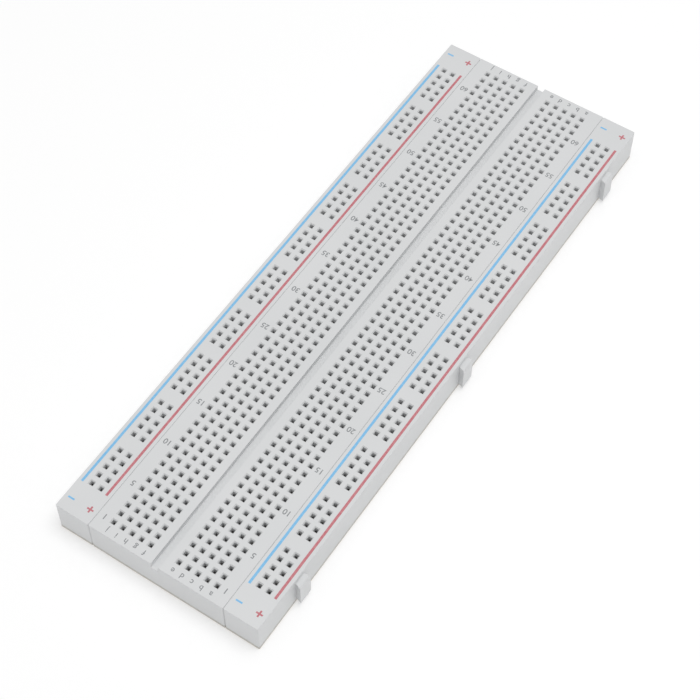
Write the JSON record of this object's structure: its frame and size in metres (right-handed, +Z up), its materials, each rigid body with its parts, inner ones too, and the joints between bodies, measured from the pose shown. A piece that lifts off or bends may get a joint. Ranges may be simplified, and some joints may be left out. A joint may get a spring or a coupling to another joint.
{
  "type": "solderless breadboard",
  "caption": "White full-size solderless breadboard: a terminal strip with a centre trench between two clip-on power bus strips, on adhesive foam.",
  "frame": {"origin": "centre of the underside, below the middle of the trench, on the face of the release liners that rests on the table", "axes": "+X along the length from row 1 to the last row, +Y across the board towards the rear bus strip, +Z up out of the contact holes"},
  "size_m": [0.165, 0.0561, 0.0096],
  "materials": {
    "abs": "fine-sparked white ABS, satin",
    "spring_metal": "nickel-plated phosphor bronze strip, bright",
    "foam": "closed-cell white adhesive foam",
    "liner": "waxed paper release liner",
    "ink_red": "pad-printed ink",
    "ink_blue": "pad-printed ink",
    "ink_grey": "pad-printed ink"
  },
  "bodies": {
    "rear_bus_strip": {"rear_bus_strip_body": "abs", "rear_bus_positive_contact": "spring_metal", "rear_bus_negative_contact": "spring_metal", "rear_bus_foam_pad": "foam", "rear_bus_release_liner": "liner"},
    "terminal_strip": {"terminal_strip_body": "abs", "front_contacts_rows_01_03": "spring_metal", "front_contacts_rows_04_06": "spring_metal", "front_contacts_rows_07_09": "spring_metal", "front_contacts_rows_10_12": "spring_metal", "front_contacts_rows_13_15": "spring_metal", "front_contacts_rows_16_18": "spring_metal", "front_contacts_rows_19_21": "spring_metal", "front_contacts_rows_22_24": "spring_metal", "front_contacts_rows_25_27": "spring_metal", "front_contacts_rows_28_30": "spring_metal", "front_contacts_rows_31_33": "spring_metal", "front_contacts_rows_34_36": "spring_metal", "front_contacts_rows_37_39": "spring_metal", "front_contacts_rows_40_42": "spring_metal", "front_contacts_rows_43_45": "spring_metal", "front_contacts_rows_46_48": "spring_metal", "front_contacts_rows_49_51": "spring_metal", "front_contacts_rows_52_54": "spring_metal", "front_contacts_rows_55_57": "spring_metal", "front_contacts_rows_58_60": "spring_metal", "front_contacts_rows_61_63": "spring_metal", "rear_contacts_rows_01_03": "spring_metal", "rear_contacts_rows_04_06": "spring_metal", "rear_contacts_rows_07_09": "spring_metal", "rear_contacts_rows_10_12": "spring_metal", "rear_contacts_rows_13_15": "spring_metal", "rear_contacts_rows_16_18": "spring_metal", "rear_contacts_rows_19_21": "spring_metal", "rear_contacts_rows_22_24": "spring_metal", "rear_contacts_rows_25_27": "spring_metal", "rear_contacts_rows_28_30": "spring_metal", "rear_contacts_rows_31_33": "spring_metal", "rear_contacts_rows_34_36": "spring_metal", "rear_contacts_rows_37_39": "spring_metal", "rear_contacts_rows_40_42": "spring_metal", "rear_contacts_rows_43_45": "spring_metal", "rear_contacts_rows_46_48": "spring_metal", "rear_contacts_rows_49_51": "spring_metal", "rear_contacts_rows_52_54": "spring_metal", "rear_contacts_rows_55_57": "spring_metal", "rear_contacts_rows_58_60": "spring_metal", "rear_contacts_rows_61_63": "spring_metal", "terminal_foam_pad": "foam", "terminal_release_liner": "liner"},
    "front_bus_strip": {"front_bus_strip_body": "abs", "front_bus_positive_contact": "spring_metal", "front_bus_negative_contact": "spring_metal", "front_bus_foam_pad": "foam", "front_bus_release_liner": "liner"}
  },
  "joints": [
    {"name": "terminal_strip_lift", "type": "slide", "parent": "rear_bus_strip", "child": "terminal_strip", "axis": [0, 0, 1], "range_m": [0, 0.012]},
    {"name": "front_bus_strip_lift", "type": "slide", "parent": "terminal_strip", "child": "front_bus_strip", "axis": [0, 0, 1], "range_m": [0, 0.012]}
  ]
}
